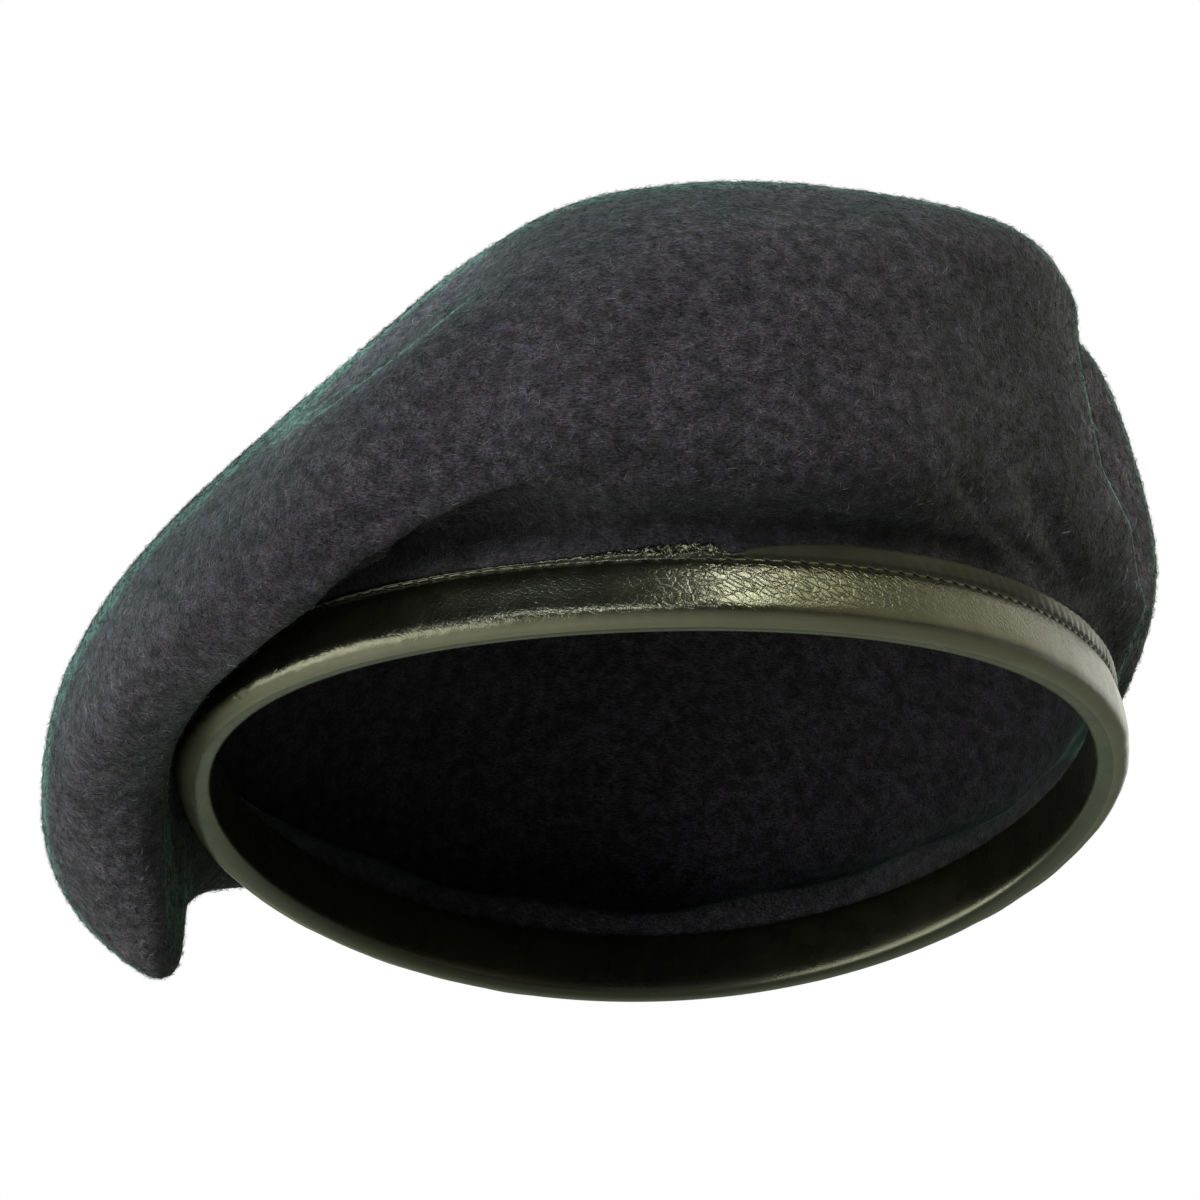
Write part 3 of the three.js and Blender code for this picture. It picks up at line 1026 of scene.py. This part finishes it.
def addCells(tree, place, vector, size, edge):
    cells = addNode(tree, "ShaderNodeTexVoronoi", place, {"feature": "DISTANCE_TO_EDGE"}, Vector=vector,
                    Scale=1 / size)
    return addRamp(tree, (place[0] + 200, place[1]), cells.outputs["Distance"], (0.0, edge), (0.0, 1.0))


def addAttribute(tree, place, name, low, high):
    value = addNode(tree, "ShaderNodeAttribute", place, {"attribute_name": name})
    share = addNode(tree, "ShaderNodeMapRange", (place[0] + 200, place[1]), Value=value.outputs["Fac"],
                    From_Min=low, From_Max=high)
    return share.outputs["Result"]


def addGrain(tree, place):
    # a fine pebble all over, and a web of long slanting cells where the leather is crumpled
    f = leatherFinish
    wander = addNode(tree, "ShaderNodeTexNoise", (-1800, -400), Vector=place, Scale=900.0, Detail=2.0)
    shift = addNode(tree, "ShaderNodeMix", (-1600, -200), {"data_type": "VECTOR"})
    for index, value in ((0, f["wander"]), (4, place), (5, wander.outputs["Color"])):
        feed(tree, shift.inputs[index], value)
    turned = addNode(tree, "ShaderNodeMapping", (-1700, -600), Vector=shift.outputs[1],
                     Rotation=(0, math.radians(f["webTurn"]), 0))
    laid = addNode(tree, "ShaderNodeMapping", (-1500, -500), Vector=turned.outputs[0],
                   Scale=(f["webStretch"], 1, 1))
    pebble = addCells(tree, (-1300, -200), shift.outputs[1], f["grain"], 0.30)
    web = addCells(tree, (-1300, -500), laid.outputs[0], f["web"], 0.16)
    return pebble, web


def makeLeather():
    f = leatherFinish
    material, tree, shader = startMaterial("grainedLeather", f["shader"])
    place = readPlace(tree)
    pebble, web = addGrain(tree, place)
    crumple = addAttribute(tree, (-1300, 1100), "crumple", 0.0, 2.0)
    flange = addAttribute(tree, (-1300, 900), "flange", 0.2, 0.8)
    gloss = addAttribute(tree, (-1300, 700), "gloss", 0.0, 1.0)
    foot = addAttribute(tree, (-1300, 500), "up", f["paintedLightFootTop"][1], f["paintedLightFootTop"][0])
    patches = addMottle(tree, (-1300, 300), place, 120.0, 0.35, 0.7)
    worn = addMottle(tree, (-1300, 100), place, 320.0, 0.5, 0.8)
    matte = joinValues(tree, (-700, 700), "SUBTRACT", flange, gloss)
    color = mixColors(tree, (-700, 200), pebble, f["dark"], f["plain"])
    color = mixColors(tree, (-500, 200), worn, color, f["worn"], 0.4)
    color = mixColors(tree, (-300, 300), matte, color, f["flange"])
    # painted light: the bottom strip of the binding is painted pale where light from below falls on it
    color = mixColors(tree, (-100, 400), foot, color, f["foot"], 0.6)
    low, high = f["roughness"]
    rough = addNode(tree, "ShaderNodeMapRange", (-500, 0), Value=patches, To_Min=low, To_Max=high)
    dull = joinValues(tree, (-650, -150), "MAXIMUM", matte, scaleValue(tree, (-800, -150), foot, 0.3))
    dulled = scaleValue(tree, (-500, -150), dull, 0.45)
    web = joinValues(tree, (-700, -600), "MULTIPLY", web, crumple)
    lift = joinValues(tree, (-500, -400), "ADD", scaleValue(tree, (-700, -400), pebble, 0.11), web)
    normal = addBump(tree, (0, -300), lift, 1.0, 0.10 * mm)
    feedNode(tree, shader, Base_Color=color, Normal=normal, Coat_Normal=normal,
             Roughness=joinValues(tree, (-300, 0), "ADD", rough.outputs["Result"], dulled),
             Coat_Weight=addRamp(tree, (-300, -150), dull, (0.0, 0.8), (0.75, 0.0)))
    return material


binding.data.materials.clear()
binding.data.materials.append(makeLeather())
pick(binding)
bpy.ops.object.shade_smooth()
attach(binding, "root")
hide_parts("band")

# stitches: one thread, modelled once and repeated along the seam
stitchSettings = {
    "length": 2.5 * mm,
    "radius": 0.19 * mm,
    "endTaper": 0.45,
    "above": 0.05 * mm,  # the thread's middle over the leather
    "lean": 0.42 * mm,
    "sides": 6,
    "dark": (0.006, 0.006, 0.006, 1),
    "light": (0.020, 0.020, 0.019, 1),
}


def makeThread():
    s = stitchSettings
    deselectAll()
    bpy.ops.mesh.primitive_cylinder_add(vertices=s["sides"], radius=s["radius"], depth=0.6 * s["length"],
                                        rotation=(0, math.radians(90), 0))
    thread = bpy.context.object
    bpy.ops.object.transform_apply(location=False, rotation=True, scale=False)
    for way in (-1, 1):
        selectWhere(thread, "FACE", lambda face: face.normal.x * way > 0.9)
        bpy.ops.mesh.extrude_region_move(
            TRANSFORM_OT_translate={"value": (way * 0.2 * s["length"], 0, -s["radius"])})
        bpy.ops.transform.resize(value=(1, s["endTaper"], s["endTaper"]))
    bpy.ops.object.mode_set(mode="OBJECT")
    return thread


def makeStitches():
    s, b = stitchSettings, bindingSettings
    thread = makeThread()
    shape = readPoints(thread.data)
    corners = [tuple(face.vertices) for face in thread.data.polygons]
    bpy.data.objects.remove(thread)
    tree = treeOf(binding.data)
    reach = 8 * mm
    rng = np.random.default_rng(7)
    middles = np.arange(b["stitches"]) * table["around"] / b["stitches"]
    points, faces = [], []
    for middle in middles:
        long = rng.uniform(0.92, 1.06)
        run = middle + shape[:, 0] * long
        up = b["seamHeight"] + shape[:, 1] - s["lean"] * shape[:, 0] / (0.5 * s["length"])
        away, near = fromLine(np.full(2, middle), np.array((reach, 0)), np.full(2, b["seamHeight"]))
        hit = tree.ray_cast(Vector(away), Vector(near - away).normalized())
        out = reach - hit[3] + s["above"]
        faces += [tuple(corner + len(points) * len(shape) for corner in face) for face in corners]
        points.append(fromLine(run, out + shape[:, 2], up))
    mesh = bpy.data.meshes.new("seamStitches")
    mesh.from_pydata(np.concatenate(points).tolist(), [], faces)
    stitches = addPiece("seamStitches", mesh)
    pick(stitches)
    bpy.ops.object.mode_set(mode="EDIT")
    bpy.ops.mesh.select_all(action="SELECT")
    bpy.ops.mesh.normals_make_consistent(inside=False)
    bpy.ops.object.mode_set(mode="OBJECT")
    bpy.ops.object.shade_smooth()
    return stitches


def makeThreadFinish():
    material, tree, shader = startMaterial("sewingThread", {"Roughness": 0.42})
    place = readPlace(tree)
    twist = addMottle(tree, (-500, 0), place, 2600.0, 0.4, 0.6)
    color = mixColors(tree, (-200, 0), twist, stitchSettings["dark"], stitchSettings["light"])
    feedNode(tree, shader, Base_Color=color, Normal=addBump(tree, (0, -250), twist, 0.5, 0.04 * mm))
    return material


stitches = makeStitches()
stitches.data.materials.append(makeThreadFinish())
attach(stitches, "root")
print("stitches made:", bindingSettings["stitches"])

# nap: short fibres lying every way on the felt, as slim closed spikes
napSettings = {
    "pieces": [
        {"fibres": 46000, "bent": False},
        {"fibres": 46000, "bent": False},
        {"fibres": 19000, "bent": True},
    ],
    "firstSeed": 100,
    "length": (0.5 * mm, 1.9 * mm),
    "width": 0.075 * mm,
    "lift": (4, 34),  # degrees off the felt
    "sunk": 0.05 * mm,
    "bend": (15, 60),  # degrees, halfway along a bent fibre
    "tones": [0.004, 0.029, 0.132],
    "toneShares": (0.42, 0.42, 0.16),
    "tints": [(1.0, 0.96, 1.15), (1.15, 0.90, 1.25), (1.15, 0.98, 0.85), (0.85, 0.95, 1.4),
              (0.9, 1.05, 1.05)],
}


def visibleTriangles(piece):
    mesh = piece.data
    mesh.calc_loop_triangles()
    corners = np.zeros(len(mesh.loop_triangles) * 3, int)
    mesh.loop_triangles.foreach_get("vertices", corners)
    corners = corners.reshape(-1, 3)
    ring = readAttribute(mesh, "ring")
    return corners[(ring[corners] < crownSettings["visibleRings"]).all(1)]


def scatter(rng, count):
    # places spread evenly over the felt, each with its triangle's corners and their weights
    points = readPoints(crown.data)
    corners = visibleTriangles(crown)
    a, b, c = (points[corners[:, i]] for i in range(3))
    area = np.linalg.norm(np.cross(b - a, c - a), axis=1)
    chosen = corners[rng.choice(len(corners), count, p=area / area.sum())]
    u, v = rng.random(count), rng.random(count)
    over = u + v > 1
    u[over], v[over] = 1 - u[over], 1 - v[over]
    return points, chosen, np.stack([1 - u - v, u, v], 1)


def growFibres(rng, count, bent, root, normal):
    s = napSettings
    random = rng.normal(size=(count, 3))
    flat = random - (random * normal).sum(1)[:, None] * normal
    flat /= np.linalg.norm(flat, axis=1)[:, None]
    side = np.cross(normal, flat)
    lift = np.radians(rng.uniform(*s["lift"], count))[:, None]
    length = rng.uniform(*s["length"], count)[:, None]
    way = flat * np.cos(lift) + normal * np.sin(lift)
    base = root - normal * s["sunk"]
    half = 0.5 * s["width"]
    foot = [base + side * half, base - side * half, base + normal * s["width"]]
    if not bent:
        faces = [(0, 2, 1), (0, 1, 3), (1, 2, 3), (2, 0, 3)]
        return np.stack(foot + [base + way * length], 1), np.array(faces)
    turn = (np.radians(rng.uniform(*s["bend"], count)) * rng.choice((-1, 1), count))[:, None]
    onward = flat * np.cos(turn) + side * np.sin(turn)
    middle = 0.6 * length * way
    tip = base + middle + 0.6 * length * onward
    faces = [(0, 2, 1), (0, 1, 4), (0, 4, 3), (1, 2, 5), (1, 5, 4), (2, 0, 3), (2, 3, 5),
             (3, 4, 6), (4, 5, 6), (5, 3, 6)]
    return np.stack(foot + [corner + middle for corner in foot] + [tip], 1), np.array(faces)


def makeNap(name, seed, count, bent):
    s = napSettings
    rng = np.random.default_rng(seed)
    points, corners, weights = scatter(rng, count)
    root = (points[corners] * weights[:, :, None]).sum(1)
    normal = (readNormals(crown.data)[corners] * weights[:, :, None]).sum(1)
    normal /= np.linalg.norm(normal, axis=1)[:, None]
    spikes, faces = growFibres(rng, count, bent, root, normal)
    each = spikes.shape[1]
    first = each * np.arange(count)[:, None, None]
    mesh = bpy.data.meshes.new(name)
    mesh.from_pydata(spikes.reshape(-1, 3).tolist(), [], (faces[None] + first).reshape(-1, 3).tolist())
    tones = np.array(s["tones"])[rng.choice(3, count, p=s["toneShares"])] * rng.uniform(0.75, 1.3, count)
    # each fibre takes the felt's painted light and shade, and its worn patches, at its root
    shade = (readAttribute(crown.data, "shade")[corners] * weights).sum(1)
    tints = np.array(s["tints"])[rng.integers(0, len(s["tints"]), count)]
    values = np.ones((count, each, 4))
    values[:, :, :3] = ((tones * shade)[:, None] * tints)[:, None, :]
    tone = mesh.color_attributes.new("tone", "FLOAT_COLOR", "POINT")
    tone.data.foreach_set("color", values.astype(np.float32).ravel())
    return addPiece(name, mesh)


def makeNapFinish():
    material, tree, shader = startMaterial("woolFibres", {"Roughness": 0.8, "Specular IOR Level": 0.3})
    place = readPlace(tree)
    tone = addNode(tree, "ShaderNodeAttribute", (-400, 0), {"attribute_name": "tone"}).outputs["Color"]
    color = scaleColor(tree, (-100, 0), tone, addFlecks(tree, (-700, -200), place))
    feedNode(tree, shader, Base_Color=color)
    return material


napFinish = makeNapFinish()
for index, batch in enumerate(napSettings["pieces"]):
    nap = makeNap(f"nap_{index + 1}", napSettings["firstSeed"] + index, batch["fibres"], batch["bent"])
    nap.data.materials.append(napFinish)
    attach(nap, "root")
print("nap made:", sum(batch["fibres"] for batch in napSettings["pieces"]), "fibres")
